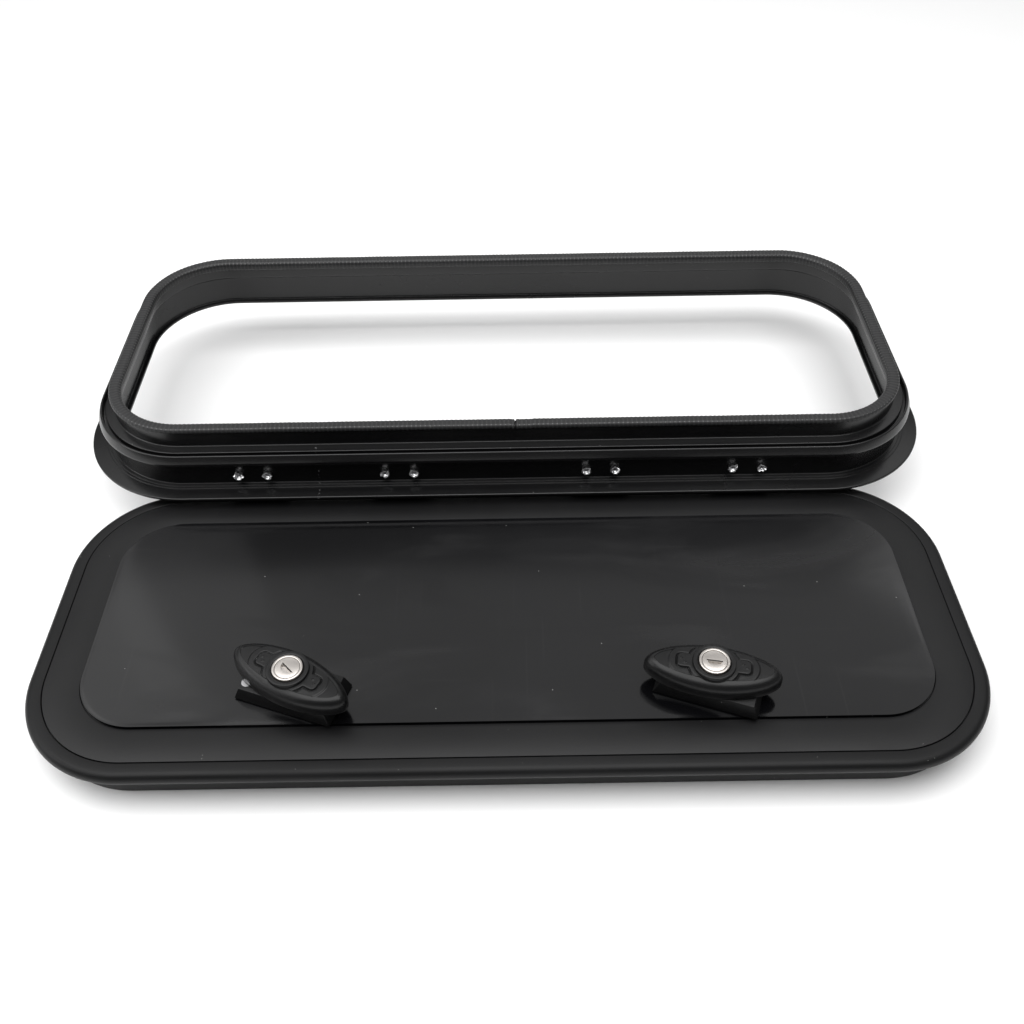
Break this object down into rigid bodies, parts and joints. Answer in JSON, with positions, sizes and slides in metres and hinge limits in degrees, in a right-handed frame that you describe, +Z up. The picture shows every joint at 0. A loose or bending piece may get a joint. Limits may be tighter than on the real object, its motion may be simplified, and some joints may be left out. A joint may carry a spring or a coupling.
{
  "type": "deck hatch",
  "caption": "Rectangular deck hatch with rounded corners: bent flanged frame, lid on two hinges that opens half a turn, rubber edge seals and two key-locked turn knobs.",
  "frame": {"origin": "middle of the footprint, on the surface that the open lid lies on", "axes": "+X along the hinge line, +Y from the lid to the frame, +Z up, the hatch fully open"},
  "size_m": [0.61, 0.472, 0.0818],
  "materials": {
    "frame_alu": "black anodised satin extrusion",
    "lid_alu": "black anodised satin border",
    "panel_gloss": "glossy black moulded sheet",
    "liner_abs": "fine-grained black sheet",
    "rim_rubber": "smooth black rubber",
    "trim_rubber": "finely ribbed black rubber",
    "gasket_foam": "black foam rubber",
    "hinge_black": "black powder coat",
    "lock_black": "fine satin black moulding",
    "knob_black": "fine satin black moulding",
    "key_nickel": "brushed nickel plate",
    "rivet_alu": "bright bare metal",
    "steel": "zinc-plated steel",
    "zinc": "plated die casting"
  },
  "bodies": {
    "frame": {"frame_ring": "frame_alu", "edge_trim": "trim_rubber", "hinge_frame_leaf_left": "hinge_black", "hinge_frame_leaf_right": "hinge_black", "hinge_pin_left": "steel", "hinge_pin_right": "steel", "frame_rivets_left": "rivet_alu", "frame_rivets_right": "rivet_alu"},
    "lid": {"lid_frame": "lid_alu", "lid_panel": "panel_gloss", "rim_seal": "rim_rubber", "lid_liner": "liner_abs", "liner_screws": "steel", "hinge_lid_leaf_left": "hinge_black", "hinge_lid_leaf_right": "hinge_black", "lid_rivets_left": "rivet_alu", "lid_rivets_right": "rivet_alu", "lock_base_left": "lock_black", "lock_base_right": "lock_black", "base_gasket_left": "gasket_foam", "base_gasket_right": "gasket_foam", "base_screws_left": "steel", "base_screws_right": "steel", "lock_washer_left": "steel", "lock_washer_right": "steel", "lock_nut_left": "zinc", "lock_nut_right": "zinc"},
    "knob_left_turn": {"knob_left": "knob_black", "lock_cylinder_left": "key_nickel", "spindle_left": "zinc", "knob_screws_left": "steel", "cam_left": "zinc", "cam_screw_left": "steel"},
    "plug_left": {"key_plug_left": "key_nickel"},
    "knob_right_turn": {"knob_right": "knob_black", "lock_cylinder_right": "key_nickel", "spindle_right": "zinc", "knob_screws_right": "steel", "cam_right": "zinc", "cam_screw_right": "steel"},
    "plug_right": {"key_plug_right": "key_nickel"}
  },
  "joints": [
    {"name": "lid_hinge", "type": "hinge", "parent": "frame", "child": "lid", "pos_m": [0, -0.008, 0.02805], "axis": [1, 0, 0], "range_deg": [0, 180]},
    {"name": "knob_left", "type": "hinge", "parent": "lid", "child": "knob_left_turn", "pos_m": [-0.1265, -0.181, 0.03], "axis": [0, 0, 1], "range_deg": [-60.6, 29.4]},
    {"name": "key_left", "type": "hinge", "parent": "knob_left_turn", "child": "plug_left", "pos_m": [-0.1265, -0.181, 0.05], "axis": [0, 0, 1], "range_deg": [-72, 18]},
    {"name": "knob_right", "type": "hinge", "parent": "lid", "child": "knob_right_turn", "pos_m": [0.1195, -0.181, 0.03], "axis": [0, 0, 1], "range_deg": [-79.8, 10.2]},
    {"name": "key_right", "type": "hinge", "parent": "knob_right_turn", "child": "plug_right", "pos_m": [0.1195, -0.181, 0.05], "axis": [0, 0, 1], "range_deg": [-90, 0]}
  ]
}
